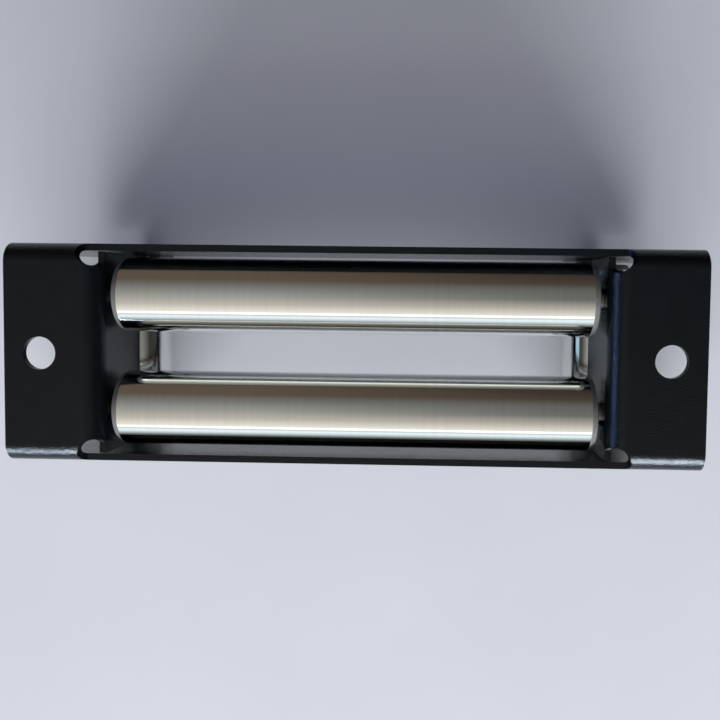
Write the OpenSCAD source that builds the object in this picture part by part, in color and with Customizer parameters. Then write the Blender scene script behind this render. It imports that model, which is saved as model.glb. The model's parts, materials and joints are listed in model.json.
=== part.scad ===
// Roller fairlead: a pressed steel frame that carries two long and two short rollers round a rope window.
// It lies with its mounting face up: +X runs along the frame, +Y across it and +Z out of the mounting face.
// The origin is on the mounting face, midway between the bolt holes. Upper and top mean +Y, as when mounted.

/* [Frame] */
// Distance between the centres of the two bolt holes
hole_pitch = 276; // [272:1:280]
// Diameter of the bolt holes
hole_d = 14.5; // [11:0.5:17]
// Length of the frame over both ears
frame_len = 307; // [304:1:314]
// Height of the frame over both flanges
frame_h = 97.5; // [97:0.5:102]
// Thickness of the plate
plate_t = 3; // [2.5:0.25:3.25]
// Outside radius of the bends
bend_r = 8.5; // [7:0.5:9.5]
// Depth of the flanges at their two ends, below the mounting face
flange_depth = 74; // [72:1:82]
// Depth of the flanges where they are cut back between the short rollers
middle_depth = 55; // [45:1:56]
// Length of the cut-back middle of a flange
middle_len = 204; // [190:2:206]
// Depth of the flanges' front edges between the ears
lip_depth = 6.75; // [5.5:0.25:8]
// Radius of the flange corners
corner_r = 9; // [4:1:10]

/* [End flaps] */
// Distance between the inner faces of the two end flaps
flap_gap = 223; // [221:0.5:226]
// Gap in depth between an end flap and the short roller behind it
flap_end_gap = 1; // [0.5:0.5:6]
// Gap between an end flap and the flanges beside it
flap_side_gap = 0.5; // [0.3:0.1:2]
// Radius of the far corners of an end flap
flap_corner_r = 7; // [3:1:10]
// Diameter of the round corner reliefs
relief_d = 16; // [15.5:0.25:17]

/* [Rollers] */
// Diameter of the rollers
roller_d = 34; // [30:1:35]
// Length of the long rollers
long_roller_len = 216; // [212:0.5:216.5]
// Length of the short rollers
short_roller_len = 87.5; // [82:0.5:87.5]
// Height of the rope window, between the long rollers
window_h = 18; // [16:0.5:20]
// Width of the rope window, between the short rollers
window_w = 203; // [199:1:205]
// Depth of the long rollers below the mounting face
roller_sink = 3; // [1:0.5:3]
// Gap in depth between the long rollers and the short ones
roller_gap = 9; // [7:0.5:10]
// Length of the chamfer at a roller's ends
chamfer_len = 2.5; // [1:0.5:5]
// Depth of the chamfer at a roller's ends
chamfer_depth = 1.25; // [0.75:0.25:3]
// Diameter of the bore through a roller
roller_bore_d = 14; // [13:0.5:16]

/* [Axles and bushes] */
// Diameter of the axles
axle_d = 10; // [8:0.5:10]
// Running clearance between an axle and its bushes, on the radius
axle_clearance = 0.05; // [0.02:0.01:0.1]
// Clearance between an axle and the frame, on the radius
frame_clearance = 0.1; // [0.05:0.05:0.3]
// Diameter of an axle's head
head_d = 17; // [14:0.5:18]
// Thickness of an axle's head
head_t = 2.5; // [2:0.25:3]
// Length of a bush inside its roller
bush_len = 22; // [12:1:30]
// Diameter of a bush's flange
bush_flange_d = 20; // [17:0.5:24]
// Thickness of a bush's flange
bush_flange_t = 1.5; // [1:0.1:1.7]

/* [Washers and clips] */
// Diameter of the plain washers
washer_d = 20; // [18:0.5:21]
// Thickness of the plain washers
washer_t = 2; // [1.5:0.25:2.5]
// Diameter of the retaining clips
clip_d = 16; // [14:0.5:18]
// Thickness of the retaining clips
clip_t = 1.2; // [0.9:0.1:1.5]

/* [Hidden] */
$fn = 96;

// Sides of the frame, and the two ends of an axle
upper = 1;
lower = -1;
left = -1;
right = 1;
head_end = -1;
clip_end = 1;

// Colours of the black powder coat, the plated and bright steel, and the nylon bushes
coat_black = [0.10, 0.11, 0.13];
plated_steel = [0.78, 0.79, 0.78];
bright_steel = [0.62, 0.63, 0.66];
nylon_black = [0.16, 0.16, 0.17];

// How far a cut runs past a face, and a joined piece into its neighbour
cut = 1;

// Frame: half sizes, where the bends start, and the end flaps
half_len = frame_len / 2;
half_h = frame_h / 2;
web_half_h = half_h - bend_r;
flap_x = flap_gap / 2;
ear_x = flap_x + bend_r;
flap_half_h = half_h - plate_t - flap_side_gap;

// Corner reliefs: each is a ball-shaped hollow over the crossing of two bends
relief_inset = 5.75;
relief_x = ear_x - relief_inset;
relief_y = web_half_h + relief_inset;
relief_z = -1.5;

// Deep ends of a flange: their length, their middle, and the fillet where the cut-back part starts
foot_len = (frame_len - middle_len) / 2;
foot_x = (middle_len + foot_len) / 2;
fillet_r = 6;

// Axes of the long rollers, along X, and of the short rollers, along Y
long_y = (window_h + roller_d) / 2;
long_z = -(roller_sink + roller_d / 2);
short_x = (window_w + roller_d) / 2;
short_z = long_z - roller_d - roller_gap;

// Depth of the end flaps below the mounting face
flap_depth = -short_z - roller_d / 2 - flap_end_gap;

// Length of each axle between the outer faces of the plates that carry it
long_grip = flap_gap + 2 * plate_t;
short_grip = frame_h;

// Axles: the groove for the clip, the tail past it, and the chamfers
axle_r = axle_d / 2;
groove_r = axle_r - 1;
tail_len = 1.5;
tail_chamfer = 0.8;
head_chamfer = 0.6;

// Washers and clips: the washer's hole, and the clip's open side, three lugs and the pocket between them
washer_bore_r = axle_r + 0.25;
clip_mouth_w = 1.7 * groove_r;
clip_lug_w = 3.2;
clip_lug_angles = [-35, 90, 215];
clip_pocket_r = axle_r + 0.8;

// Placing: a section in Y and Z drawn along X, and a section in X and Z drawn along Y
module along_x(length) {
    rotate([90, 0, 90]) linear_extrude(length, center = true) children();
}

module along_y(length) {
    rotate([90, 0, 0]) linear_extrude(length, center = true) children();
}

// Placing on a roller's axis: local +Z runs from the axle's head to its clip
module on_long_axis(side) {
    translate([0, side * long_y, long_z]) rotate([0, 90, 0]) children();
}

module on_short_axis(side) {
    translate([side * short_x, 0, short_z]) rotate([90, 0, 0]) children();
}

module both_sides(direction) {
    children();
    mirror(direction) children();
}

// One bend of the plate in section: a quarter ring that turns down from the web at the origin
module bend_section() {
    translate([0, -bend_r]) intersection() {
        difference() {
            circle(bend_r);
            circle(bend_r - plate_t);
        }
        square(bend_r + cut);
    }
}

// Section across the ears: the web, its two bends and the two flanges
module channel_section() {
    translate([-web_half_h, -plate_t]) square([2 * web_half_h, plate_t]);
    both_sides([1, 0]) {
        translate([web_half_h, 0]) bend_section();
        translate([half_h - plate_t, -flange_depth]) square([plate_t, flange_depth - bend_r]);
    }
}

// A piece of plate seen from its face: it hangs from the X axis and its two far corners are rounded
module rounded_foot(width, depth, corner) {
    translate([-width / 2, corner - depth]) square([width, depth - corner]);
    translate([corner - width / 2, -depth]) square([width - 2 * corner, depth]);
    both_sides([1, 0]) translate([width / 2 - corner, corner - depth]) circle(corner);
}

// Side view of the flanges: deep at both ends to hold the short axles, and cut back between them
module flange_outline() {
    translate([-half_len, -middle_depth]) square([frame_len, middle_depth + cut]);
    both_sides([1, 0]) {
        translate([foot_x, 0]) rounded_foot(foot_len, flange_depth, corner_r);
        translate([middle_len / 2 - fillet_r, -middle_depth - fillet_r]) difference() {
            square(fillet_r);
            circle(fillet_r);
        }
    }
}

// Section of an end flap: it leaves the ear, bends down and ends short of the short rollers
module flap_section() {
    translate([ear_x, -plate_t]) square([cut, plate_t]);
    translate([ear_x, 0]) mirror([1, 0]) bend_section();
    translate([flap_x, -flap_depth]) square([plate_t, flap_depth - bend_r]);
}

// Section of an end flap's leg alone: the bend and the ear are left off where they lie outside of it
module flap_leg_section() {
    intersection() {
        flap_section();
        translate([flap_x, -flap_depth]) square([plate_t, flap_depth]);
    }
}

// An end flap: its bend is as wide as the web, and its leg reaches nearly to the flanges
module end_flap() {
    intersection() {
        union() {
            along_y(2 * web_half_h) flap_section();
            along_y(2 * flap_half_h) flap_leg_section();
        }
        along_x(2 * half_len) translate([0, cut]) {
            rounded_foot(2 * flap_half_h, flap_depth + cut, flap_corner_r);
        }
    }
}

// The channel with its web cut away between the ears, and its bends between the corner reliefs
module channel() {
    difference() {
        intersection() {
            along_x(frame_len) channel_section();
            along_y(frame_h + cut) flange_outline();
        }
        translate([-ear_x, -web_half_h, -bend_r]) cube([2 * ear_x, 2 * web_half_h, bend_r + cut]);
        translate([-relief_x, -half_h - cut, -lip_depth]) {
            cube([2 * relief_x, frame_h + 2 * cut, lip_depth + cut]);
        }
    }
}

// A corner relief ends level with the flanges' front edges
module corner_relief() {
    translate([relief_x, relief_y, 0]) intersection() {
        translate([0, 0, relief_z]) sphere(d = relief_d);
        translate([-relief_d, -relief_d, -lip_depth]) cube([2 * relief_d, 2 * relief_d, 2 * relief_d]);
    }
}

module bolt_hole() {
    translate([hole_pitch / 2, 0, -plate_t - cut]) cylinder(d = hole_d, h = plate_t + 2 * cut);
}

module axle_hole(grip) {
    cylinder(r = axle_r + frame_clearance, h = grip + 2 * cut, center = true);
}

module frame() {
    color(coat_black) difference() {
        union() {
            channel();
            both_sides([1, 0, 0]) end_flap();
        }
        both_sides([1, 0, 0]) {
            bolt_hole();
            both_sides([0, 1, 0]) corner_relief();
        }
        for (side = [upper, lower]) on_long_axis(side) axle_hole(long_grip);
        for (side = [left, right]) on_short_axis(side) axle_hole(short_grip);
    }
}

// A roller is a thick tube, turned with a chamfer at each end
module roller(length) {
    rim_r = roller_d / 2 - chamfer_depth;
    color(plated_steel) rotate_extrude() polygon([
        [roller_bore_d / 2, -length / 2],
        [rim_r, -length / 2],
        [roller_d / 2, chamfer_len - length / 2],
        [roller_d / 2, length / 2 - chamfer_len],
        [rim_r, length / 2],
        [roller_bore_d / 2, length / 2]
    ]);
}

// A flanged bush is pressed into each end of a roller and turns with it on the axle
module bush(length) {
    bore_r = axle_r + axle_clearance;
    color(nylon_black) rotate_extrude() polygon([
        [bore_r, length / 2 - bush_len],
        [roller_bore_d / 2, length / 2 - bush_len],
        [roller_bore_d / 2, length / 2],
        [bush_flange_d / 2, length / 2],
        [bush_flange_d / 2, length / 2 + bush_flange_t],
        [bore_r, length / 2 + bush_flange_t]
    ]);
}

// An axle has a low head at one end and a groove for the retaining clip at the other
module axle(grip) {
    head_top = -grip / 2 - head_t;
    groove_start = grip / 2 + washer_t;
    groove_end = groove_start + clip_t;
    tail_end = groove_end + tail_len;
    color(bright_steel) rotate_extrude() polygon([
        [0, head_top],
        [head_d / 2 - head_chamfer, head_top],
        [head_d / 2, head_top + head_chamfer],
        [head_d / 2, -grip / 2],
        [axle_r, -grip / 2],
        [axle_r, groove_start],
        [groove_r, groove_start],
        [groove_r, groove_end],
        [axle_r, groove_end],
        [axle_r, tail_end - tail_chamfer],
        [axle_r - tail_chamfer, tail_end],
        [0, tail_end]
    ]);
}

module washer(grip) {
    color(bright_steel) translate([0, 0, grip / 2]) difference() {
        cylinder(d = washer_d, h = washer_t);
        translate([0, 0, -cut]) cylinder(r = washer_bore_r, h = washer_t + 2 * cut);
    }
}

// A retaining clip is a flat ring, open at one side, that grips the groove with three lugs
module clip(grip) {
    color(bright_steel) translate([0, 0, grip / 2 + washer_t]) linear_extrude(clip_t) difference() {
        circle(d = clip_d);
        circle(groove_r);
        difference() {
            circle(clip_pocket_r);
            for (angle = clip_lug_angles) {
                rotate(angle) translate([0, -clip_lug_w / 2]) square([clip_d, clip_lug_w]);
            }
        }
        translate([-clip_mouth_w / 2, -clip_d]) square([clip_mouth_w, clip_d]);
    }
}

module long_roller(side) {
    on_long_axis(side) roller(long_roller_len);
}

module short_roller(side) {
    on_short_axis(side) roller(short_roller_len);
}

module long_axle(side) {
    on_long_axis(side) axle(long_grip);
}

module short_axle(side) {
    on_short_axis(side) axle(short_grip);
}

module long_bush(side, end) {
    on_long_axis(side) mirror([0, 0, end == head_end ? 1 : 0]) bush(long_roller_len);
}

module short_bush(side, end) {
    on_short_axis(side) mirror([0, 0, end == head_end ? 1 : 0]) bush(short_roller_len);
}

module long_washer(side) {
    on_long_axis(side) washer(long_grip);
}

module short_washer(side) {
    on_short_axis(side) washer(short_grip);
}

module long_clip(side) {
    on_long_axis(side) clip(long_grip);
}

module short_clip(side) {
    on_short_axis(side) clip(short_grip);
}

frame();

long_roller(upper);  // upper_roller
long_roller(lower);  // lower_roller
short_roller(left);  // left_roller
short_roller(right);  // right_roller

long_axle(upper);  // upper_axle
long_axle(lower);  // lower_axle
short_axle(left);  // left_axle
short_axle(right);  // right_axle

long_bush(upper, head_end);  // upper_bush_left
long_bush(upper, clip_end);  // upper_bush_right
long_bush(lower, head_end);  // lower_bush_left
long_bush(lower, clip_end);  // lower_bush_right
short_bush(left, head_end);  // left_bush_top
short_bush(left, clip_end);  // left_bush_bottom
short_bush(right, head_end);  // right_bush_top
short_bush(right, clip_end);  // right_bush_bottom

long_washer(upper);  // upper_washer
long_washer(lower);  // lower_washer
short_washer(left);  // left_washer
short_washer(right);  // right_washer

long_clip(upper);  // upper_clip
long_clip(lower);  // lower_clip
short_clip(left);  // left_clip
short_clip(right);  // right_clip
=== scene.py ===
import json
import math

import bmesh
import bpy
from mathutils import Matrix, Vector


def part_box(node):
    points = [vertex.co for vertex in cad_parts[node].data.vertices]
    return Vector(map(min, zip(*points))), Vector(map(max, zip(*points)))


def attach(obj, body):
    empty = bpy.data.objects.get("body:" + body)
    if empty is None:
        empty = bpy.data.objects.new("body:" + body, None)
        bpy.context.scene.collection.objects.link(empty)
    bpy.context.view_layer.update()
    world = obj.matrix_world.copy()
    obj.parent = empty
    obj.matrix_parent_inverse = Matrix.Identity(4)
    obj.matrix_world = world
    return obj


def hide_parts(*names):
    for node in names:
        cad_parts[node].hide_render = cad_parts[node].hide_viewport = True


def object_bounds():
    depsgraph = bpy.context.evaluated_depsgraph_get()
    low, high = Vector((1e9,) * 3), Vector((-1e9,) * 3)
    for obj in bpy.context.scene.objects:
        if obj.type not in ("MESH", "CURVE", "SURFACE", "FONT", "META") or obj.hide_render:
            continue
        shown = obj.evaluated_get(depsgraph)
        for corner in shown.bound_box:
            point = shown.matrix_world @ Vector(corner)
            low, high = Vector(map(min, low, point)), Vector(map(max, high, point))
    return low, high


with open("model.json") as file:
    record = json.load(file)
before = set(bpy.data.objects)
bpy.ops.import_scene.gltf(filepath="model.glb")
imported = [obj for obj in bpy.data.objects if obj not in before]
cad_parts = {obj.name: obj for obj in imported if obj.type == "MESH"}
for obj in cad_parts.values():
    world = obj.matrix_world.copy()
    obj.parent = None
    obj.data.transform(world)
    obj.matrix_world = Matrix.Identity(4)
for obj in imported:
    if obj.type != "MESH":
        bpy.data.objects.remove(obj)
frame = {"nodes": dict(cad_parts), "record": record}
cad_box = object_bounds()

# Camera, as fitted to the photograph: place in metres, angles in radians, focal length and centre in pixels
IMAGE_SIZE = 720
CAMERA_PLACE = (0.03397, 0.02749, 0.3145)
CAMERA_TILT = 0.0457
CAMERA_PAN = -0.0233
CAMERA_ROLL = -0.0121
FOCAL_PIXELS = 727.15
IMAGE_CENTRE = (413.97, 328.17)
SENSOR_MM = 36.0
NEAREST_SEEN = 0.01

# Sizes in metres
MM = 0.001
FLOOR_SIZE = 6.0
FRAME_EDGE = 0.55 * MM
ROLLER_EDGE = 0.35 * MM
SMALL_EDGE = 0.22 * MM
CLIP_EDGE = SMALL_EDGE / 2
MERGE_DISTANCE = 0.002 * MM
BORE_RADIUS = 7 * MM
CHAMFER_LENGTH = 2.5 * MM
CHAMFER_DEPTH = 1.25 * MM

# Angles in degrees: what still counts as flat, and the least bend that gets a rounded edge
FLAT_ANGLE = 0.4
EDGE_ANGLE = 32
ROLLER_EDGE_ANGLE = 20

EDGE_SEGMENTS = 3
ROLLER_STEPS = 192
FLAT_FACE_WEIGHT = 100

LONG_ROLLERS = ("upper", "lower")
SHORT_ROLLERS = ("left", "right")
ALONG_X = 0
ALONG_Y = 1

# Finishes of a roller, in the order of its materials
FINE = 0
COARSE = 1

# Sockets of a colour mix, which shares its socket names with the other kinds of mix
MIX_FIRST = 6
MIX_SECOND = 7
MIX_RESULT = 2

# Noise lies mostly between these two values
NOISE_LOW = 0.3
NOISE_HIGH = 0.7


def opaque(colour):
    return (*colour, 1.0)


# Nodes of a material or the world
class Shading:
    def __init__(self, tree):
        self.tree = tree

    def add(self, kind, inputs=None, **settings):
        node = self.tree.nodes.new(kind)
        for name, value in settings.items():
            setattr(node, name, value)
        for name, value in (inputs or {}).items():
            if isinstance(value, bpy.types.NodeSocket):
                self.tree.links.new(value, node.inputs[name])
            else:
                node.inputs[name].default_value = value
        return node

    def place(self):
        return self.add("ShaderNodeTexCoord").outputs["Object"]

    def maths(self, operation, *values):
        return self.add("ShaderNodeMath", dict(enumerate(values)), operation=operation).outputs[0]

    def along(self, axis):
        return self.add("ShaderNodeSeparateXYZ", {0: self.place()}).outputs[axis]

    def noise(self, size, detail=2.0):
        inputs = {"Vector": self.place(), "Scale": 1.0 / size, "Detail": detail}
        return self.add("ShaderNodeTexNoise", inputs).outputs["Fac"]

    def rings(self, axis, size, detail=2.0):
        inputs = {"W": self.along(axis), "Scale": 1.0 / size, "Detail": detail}
        return self.add("ShaderNodeTexNoise", inputs, noise_dimensions="1D").outputs["Fac"]

    def spread(self, value, low, high, low_at=NOISE_LOW, high_at=NOISE_HIGH):
        limits = {"Value": value, "From Min": low_at, "From Max": high_at, "To Min": low, "To Max": high}
        return self.add("ShaderNodeMapRange", limits).outputs["Result"]

    def blend(self, factor, first, second):
        inputs = {"Factor": factor, MIX_FIRST: first, MIX_SECOND: second}
        return self.add("ShaderNodeMix", inputs, data_type="RGBA").outputs[MIX_RESULT]

    def mottled(self, pattern, dark, light):
        return self.blend(self.spread(pattern, 0.0, 1.0), opaque(dark), opaque(light))

    def bump(self, height, distance, normal=None):
        inputs = {"Height": height, "Distance": distance, "Strength": 1.0}
        if normal is not None:
            inputs["Normal"] = normal
        return self.add("ShaderNodeBump", inputs).outputs["Normal"]

    def connect(self, shader, **sockets):
        for socket, output in sockets.items():
            self.tree.links.new(output, shader.inputs[socket.replace("_", " ")])


def new_material(name, **sockets):
    material = bpy.data.materials.new(name)
    material.use_nodes = True
    shader = material.node_tree.nodes["Principled BSDF"]
    for socket, value in sockets.items():
        shader.inputs[socket.replace("_", " ")].default_value = value
    return material, Shading(material.node_tree), shader


# Glossy coat with an orange peel over a finer grain
def powder_coat():
    peel_height = 0.20 * MM
    grain_height = 0.06 * MM
    material, shading, shader = new_material("black_powder_coat", IOR=1.52, Specular_IOR_Level=0.24)
    patches = shading.noise(9 * MM, detail=3.0)
    peel = shading.noise(0.8 * MM)
    grain = shading.noise(0.5 * MM, detail=1.0)
    shading.connect(
        shader,
        Base_Color=shading.mottled(patches, dark=(0.0020, 0.0036, 0.0052), light=(0.0032, 0.0050, 0.0068)),
        Roughness=shading.spread(shading.noise(3 * MM), low=0.11, high=0.17),
        Normal=shading.bump(peel, peel_height, normal=shading.bump(grain, grain_height)),
    )
    return material


# Bright plate over fine turning marks, which run round the roller
def turned_zinc(name, axis):
    mark_height = 0.001 * MM
    material, shading, shader = new_material(name, Metallic=1.0, Anisotropic=0.65, Anisotropic_Rotation=0.25)
    streaks = shading.rings(axis, 2.5 * MM, detail=4.0)
    wear = shading.rings(axis, 1.1 * MM, detail=3.0)
    marks = shading.rings(axis, 0.35 * MM, detail=3.0)
    shading.connect(
        shader,
        Base_Color=shading.mottled(streaks, dark=(0.72, 0.735, 0.715), light=(0.745, 0.76, 0.74)),
        Roughness=shading.spread(wear, low=0.06, high=0.10),
        Normal=shading.bump(marks, mark_height),
        Tangent=shading.add("ShaderNodeTangent", direction_type="RADIAL", axis="XYZ"[axis]).outputs[0],
    )
    return material


# The ends of a roller are turned less finely than its face, so they look duller
def coarse_zinc(name, axis):
    mark_height = 0.02 * MM
    material, shading, shader = new_material(name, Metallic=0.6)
    patches = shading.noise(2.0 * MM, detail=3.0)
    wear = shading.noise(0.7 * MM, detail=3.0)
    marks = shading.rings(axis, 0.25 * MM)
    shading.connect(
        shader,
        Base_Color=shading.mottled(patches, dark=(0.27, 0.27, 0.265), light=(0.34, 0.34, 0.335)),
        Roughness=shading.spread(wear, low=0.45, high=0.60),
        Normal=shading.bump(marks, mark_height),
    )
    return material


# A finish with patches of colour, patches of wear and a fine relief, each with its own size
def speckled(name, patch, dark, light, wear, roughness, relief, relief_height, wear_detail=3.0, **sockets):
    material, shading, shader = new_material(name, **sockets)
    shading.connect(
        shader,
        Base_Color=shading.mottled(shading.noise(patch, detail=3.0), dark, light),
        Roughness=shading.spread(shading.noise(wear, wear_detail), *roughness),
        Normal=shading.bump(shading.noise(relief), relief_height),
    )
    return material


def drawn_steel():
    return speckled(
        "drawn_axle_steel",
        patch=4 * MM,
        dark=(0.36, 0.36, 0.38),
        light=(0.50, 0.50, 0.51),
        wear=1.5 * MM,
        roughness=(0.22, 0.40),
        relief=0.4 * MM,
        relief_height=0.006 * MM,
        Metallic=1.0,
    )


def plated_washer():
    return speckled(
        "plated_washer",
        patch=3 * MM,
        dark=(0.60, 0.61, 0.63),
        light=(0.72, 0.73, 0.74),
        wear=1.0 * MM,
        roughness=(0.28, 0.46),
        relief=0.5 * MM,
        relief_height=0.01 * MM,
        Metallic=1.0,
    )


def phosphated_clip():
    return speckled(
        "phosphated_clip",
        patch=1.2 * MM,
        dark=(0.07, 0.07, 0.075),
        light=(0.14, 0.14, 0.145),
        wear=0.6 * MM,
        roughness=(0.38, 0.55),
        relief=0.3 * MM,
        relief_height=0.01 * MM,
        Metallic=0.85,
    )


def nylon():
    return speckled(
        "black_nylon",
        patch=2.0 * MM,
        dark=(0.012, 0.012, 0.013),
        light=(0.024, 0.024, 0.025),
        wear=0.8 * MM,
        wear_detail=2.0,
        roughness=(0.42, 0.58),
        relief=0.3 * MM,
        relief_height=0.015 * MM,
        IOR=1.53,
    )


def pale_floor():
    return speckled(
        "pale_floor",
        patch=120 * MM,
        dark=(0.62, 0.64, 0.68),
        light=(0.65, 0.67, 0.71),
        wear=20 * MM,
        wear_detail=2.0,
        roughness=(0.55, 0.65),
        relief=1.5 * MM,
        relief_height=0.02 * MM,
        Specular_IOR_Level=0.3,
    )


# Pieces
def body_of_node(node):
    bodies = frame["record"]["behaviour"]["bodies"]
    return next(body for body, nodes in bodies.items() if node in nodes)


def stand_for(piece, node, *materials):
    for material in materials:
        piece.data.materials.append(material)
    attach(piece, body_of_node(node))
    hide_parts(node)


def new_object(name, content):
    thing = bpy.data.objects.new(name, content)
    bpy.context.collection.objects.link(thing)
    return thing


def round_edges(piece, width, least_angle):
    bevel = piece.modifiers.new("rounded_edges", "BEVEL")
    bevel.width = width
    bevel.segments = EDGE_SEGMENTS
    bevel.limit_method = "ANGLE"
    bevel.angle_limit = math.radians(least_angle)
    bevel.use_clamp_overlap = True
    flat = piece.modifiers.new("flat_faces", "WEIGHTED_NORMAL")
    flat.mode = "FACE_AREA"
    flat.weight = FLAT_FACE_WEIGHT


def fill_smoothly(mesh, shape):
    for face in shape.faces:
        face.smooth = True
    shape.to_mesh(mesh)
    shape.free()


# A copy of a solid with its flat triangles joined and its edges rounded, as pressing and plating leave them
def finished_copy(node, material, edge):
    mesh = frame["nodes"][node].data.copy()
    mesh.name = node + "_finished"
    mesh.materials.clear()
    shape = bmesh.new()
    shape.from_mesh(mesh)
    bmesh.ops.remove_doubles(shape, verts=shape.verts, dist=MERGE_DISTANCE)
    bmesh.ops.dissolve_limit(
        shape, angle_limit=math.radians(FLAT_ANGLE), verts=shape.verts, edges=shape.edges, delimit=set()
    )
    fill_smoothly(mesh, shape)
    piece = new_object(node + "_finished", mesh)
    round_edges(piece, edge, EDGE_ANGLE)
    stand_for(piece, node, material)
    return piece


# A closed profile, spun round its axis: each point has a radius, a place and the finish of what follows it
def spun(name, profile, centre, axis):
    turn_axis = Vector((1, 0, 0)) if axis == ALONG_X else Vector((0, 1, 0))
    outward = Vector((0, 0, 1))
    shape = bmesh.new()
    rings = []
    for radius, offset, _ in profile:
        ring = []
        for step in range(ROLLER_STEPS):
            turn = Matrix.Rotation(math.tau * step / ROLLER_STEPS, 3, turn_axis)
            ring.append(shape.verts.new(centre + turn_axis * offset + turn @ outward * radius))
        rings.append(ring)
    for ring, following, (_, _, finish) in zip(rings, rings[1:] + rings[:1], profile):
        for step in range(ROLLER_STEPS):
            after = (step + 1) % ROLLER_STEPS
            face = shape.faces.new((ring[step], ring[after], following[after], following[step]))
            face.material_index = finish
    bmesh.ops.recalc_face_normals(shape, faces=shape.faces)
    mesh = bpy.data.meshes.new(name)
    fill_smoothly(mesh, shape)
    return new_object(name, mesh)


def roller(node, axis, fine, coarse):
    low, high = (Vector(corner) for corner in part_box(node))
    centre = (low + high) / 2
    half = (high - low)[axis] / 2
    radius = (high - low).z / 2
    rim = radius - CHAMFER_DEPTH
    profile = [
        (BORE_RADIUS, -half, COARSE),
        (rim, -half, COARSE),
        (radius, CHAMFER_LENGTH - half, FINE),
        (radius, half - CHAMFER_LENGTH, COARSE),
        (rim, half, COARSE),
        (BORE_RADIUS, half, COARSE),
    ]
    piece = spun(node + "_finished", profile, centre, axis)
    round_edges(piece, ROLLER_EDGE, ROLLER_EDGE_ANGLE)
    stand_for(piece, node, fine, coarse)


# The four rollers, each with its axle, washer, clip and two bushes
def rollers():
    fine = (turned_zinc("turned_zinc_long", ALONG_X), turned_zinc("turned_zinc_short", ALONG_Y))
    coarse = (coarse_zinc("coarse_zinc_long", ALONG_X), coarse_zinc("coarse_zinc_short", ALONG_Y))
    axle_steel = drawn_steel()
    washer_zinc = plated_washer()
    clip_steel = phosphated_clip()
    bush_nylon = nylon()
    for place in LONG_ROLLERS + SHORT_ROLLERS:
        axis = ALONG_X if place in LONG_ROLLERS else ALONG_Y
        ends = ("left", "right") if place in LONG_ROLLERS else ("top", "bottom")
        roller(place + "_roller", axis, fine[axis], coarse[axis])
        finished_copy(place + "_axle", axle_steel, SMALL_EDGE)
        finished_copy(place + "_washer", washer_zinc, SMALL_EDGE)
        finished_copy(place + "_clip", clip_steel, CLIP_EDGE)
        for end in ends:
            finished_copy(place + "_bush_" + end, bush_nylon, SMALL_EDGE)


# Floor, light and camera
def floor():
    half = FLOOR_SIZE / 2
    level = cad_box[0][2]
    mesh = bpy.data.meshes.new("floor")
    corners = [(-half, -half, level), (half, -half, level), (half, half, level), (-half, half, level)]
    mesh.from_pydata(corners, [], [(0, 1, 2, 3)])
    mesh.materials.append(pale_floor())
    new_object("floor", mesh)


# A soft panel that faces the part: its bearing in degrees, from the near side towards the left, its lean from
# straight above, its span across that lean, its distance and its length
def panel(name, bearing, lean, span, distance, length, brightness, colour):
    bearing, lean, half_span = math.radians(bearing), math.radians(lean), math.radians(span) / 2
    level = Vector((-math.sin(bearing), -math.cos(bearing), 0))
    away = level * math.sin(lean) + Vector((0, 0, 1)) * math.cos(lean)
    light = bpy.data.lights.new(name, "AREA")
    light.shape = "RECTANGLE"
    light.size = length
    light.size_y = 2 * distance * math.tan(half_span)
    light.energy = brightness * math.pi * light.size * light.size_y
    light.color = colour
    lamp = new_object(name, light)
    lamp.location = away * distance
    lamp.rotation_euler = (-away).to_track_quat("-Z", "Y").to_euler()
    return lamp


WINDOW_DISTANCE = 1.5
PALE_BLUE = (0.5, 0.78, 1.0)
DEEP_BLUE = (0.24, 0.40, 1.0)
LEFT_BLUE = (0.72, 0.85, 1.0)
RIGHT_BLUE = (0.76, 0.88, 1.0)
SKY_BLUE = (0.12, 0.27, 1.0)
DAYLIGHT = (0.97, 0.98, 1.0)


def window(name, **settings):
    return panel(name, distance=WINDOW_DISTANCE, **settings)


# A window on the left that shows as a pale line on the right short roller
def side_window():
    window("pale_window", bearing=90, lean=72, span=16, length=0.5, brightness=0.8, colour=PALE_BLUE)


# Small bright windows that show only as glints along the frame's bends
def glint_windows(coated_frame):
    for lamp in (
        window("blue_window", bearing=85, lean=73, span=5, length=0.5, brightness=30.0, colour=DEEP_BLUE),
        window("left_window", bearing=30, lean=65, span=11, length=0.35, brightness=75.0, colour=LEFT_BLUE),
        window(
            "right_window", bearing=-20, lean=63, span=11, length=0.35, brightness=130.0, colour=RIGHT_BLUE
        ),
    ):
        lit = bpy.data.collections.new(lamp.name + "_lit")
        lit.objects.link(coated_frame)
        lamp.light_linking.receiver_collection = lit
        lamp.visible_diffuse = False


# Light low from the near side and blue from above, kept out of reflections so that the rollers show no band
def soft_light():
    near = panel(
        "near_fill", bearing=0, lean=76, span=16, distance=3.0, length=4.4, brightness=23.0, colour=DAYLIGHT
    )
    sky = panel(
        "sky_fill", bearing=0, lean=0, span=80, distance=1.4, length=2.4, brightness=0.2, colour=SKY_BLUE
    )
    for lamp in (near, sky):
        lamp.visible_glossy = False


BROWN = (1.0, 0.75, 0.58)
GREY = (1.0, 1.0, 0.92)
WARM = (1.0, 0.93, 0.84)
WHITE = (1.0, 1.0, 1.0)
COOL = (0.90, 1.0, 1.05)

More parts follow.
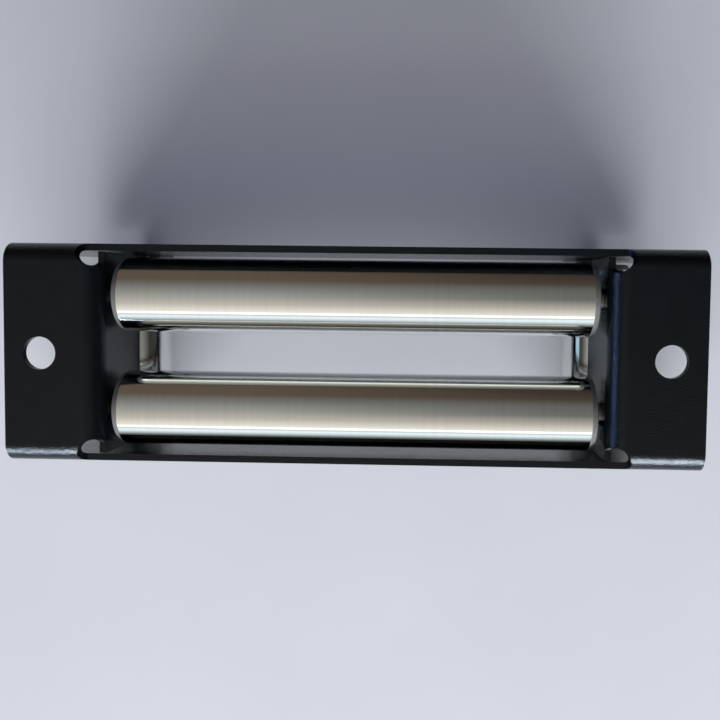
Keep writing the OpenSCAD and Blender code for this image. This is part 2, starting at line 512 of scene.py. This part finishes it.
# The room's light: lean from straight above in degrees, positive on the near side, then its brightness
# on the left and on the right, where the room is darker overhead, and its colour
ROOM_LIGHT = (
    (-88, 0.04, 0.02, BROWN),
    (-80, 0.13, 0.05, BROWN),
    (-50, 0.14, 0.08, BROWN),
    (-30, 0.22, 0.15, GREY),
    (0, 0.42, 0.19, GREY),
    (25, 0.66, 0.55, WARM),
    (51, 1.15, 1.05, WARM),
    (53, 2.2, 2.2, WHITE),
    (56, 2.2, 2.2, WHITE),
    (59, 0.80, 0.80, WHITE),
    (62, 0.85, 0.85, COOL),
    (65, 1.25, 1.25, COOL),
    (70, 1.15, 1.15, COOL),
    (75, 0.85, 0.85, COOL),
    (86, 0.15, 0.15, COOL),
)
ROOM_LEFT = 1
ROOM_RIGHT = 2

# Sideways parts of a direction: where the left room passes into the right one, and where both fade
LEFT_UP_TO = -0.25
RIGHT_FROM = 0.2
FULL_UP_TO = 0.5
FADED_FROM = 0.8
FADED_LIGHT = 0.15


def room_ramp(shading, place, side):
    ramp = shading.add("ShaderNodeValToRGB", {"Fac": place})
    stops = ramp.color_ramp.elements
    while len(stops) < len(ROOM_LIGHT):
        stops.new(1.0)
    for stop, band in zip(stops, ROOM_LIGHT):
        lean, brightness, colour = band[0], band[side], band[-1]
        stop.position = (lean + 90) / 180
        stop.color = opaque(brightness * part for part in colour)
    return ramp.outputs["Color"]


# The room is a gradient across the rollers that fades towards both of their ends
def room_light():
    world = bpy.data.worlds.new("room")
    bpy.context.scene.world = world
    world.use_nodes = True
    shading = Shading(world.node_tree)
    towards = shading.add("ShaderNodeTexCoord").outputs["Generated"]
    sideways, across, upward = shading.add("ShaderNodeSeparateXYZ", {0: towards}).outputs
    lean = shading.maths("ARCTAN2", shading.maths("MULTIPLY", across, -1.0), upward)
    place = shading.spread(lean, 0.0, 1.0, -math.pi / 2, math.pi / 2)
    rightness = shading.spread(sideways, 0.0, 1.0, LEFT_UP_TO, RIGHT_FROM)
    from_middle = shading.maths("ABSOLUTE", sideways)
    left, right = (room_ramp(shading, place, side) for side in (ROOM_LEFT, ROOM_RIGHT))
    shading.connect(
        world.node_tree.nodes["Background"],
        Color=shading.blend(rightness, left, right),
        Strength=shading.spread(from_middle, 1.0, FADED_LIGHT, FULL_UP_TO, FADED_FROM),
    )


def camera():
    turn = (
        Matrix.Rotation(CAMERA_ROLL, 3, "Z")
        @ Matrix.Rotation(CAMERA_TILT, 3, "X")
        @ Matrix.Rotation(CAMERA_PAN, 3, "Y")
    )
    lens = bpy.data.cameras.new("camera")
    lens.sensor_width = SENSOR_MM
    lens.lens = FOCAL_PIXELS / IMAGE_SIZE * SENSOR_MM
    lens.shift_x = (IMAGE_SIZE / 2 - IMAGE_CENTRE[0]) / IMAGE_SIZE
    lens.shift_y = (IMAGE_CENTRE[1] - IMAGE_SIZE / 2) / IMAGE_SIZE
    lens.clip_start = NEAREST_SEEN
    holder = new_object("camera", lens)
    holder.matrix_world = Matrix.Translation(CAMERA_PLACE) @ turn.transposed().to_4x4()
    bpy.context.scene.camera = holder


coated_frame = finished_copy("frame", powder_coat(), FRAME_EDGE)
rollers()
floor()
room_light()
side_window()
glint_windows(coated_frame)
soft_light()
camera()
bpy.context.scene.view_settings.view_transform = "Standard"
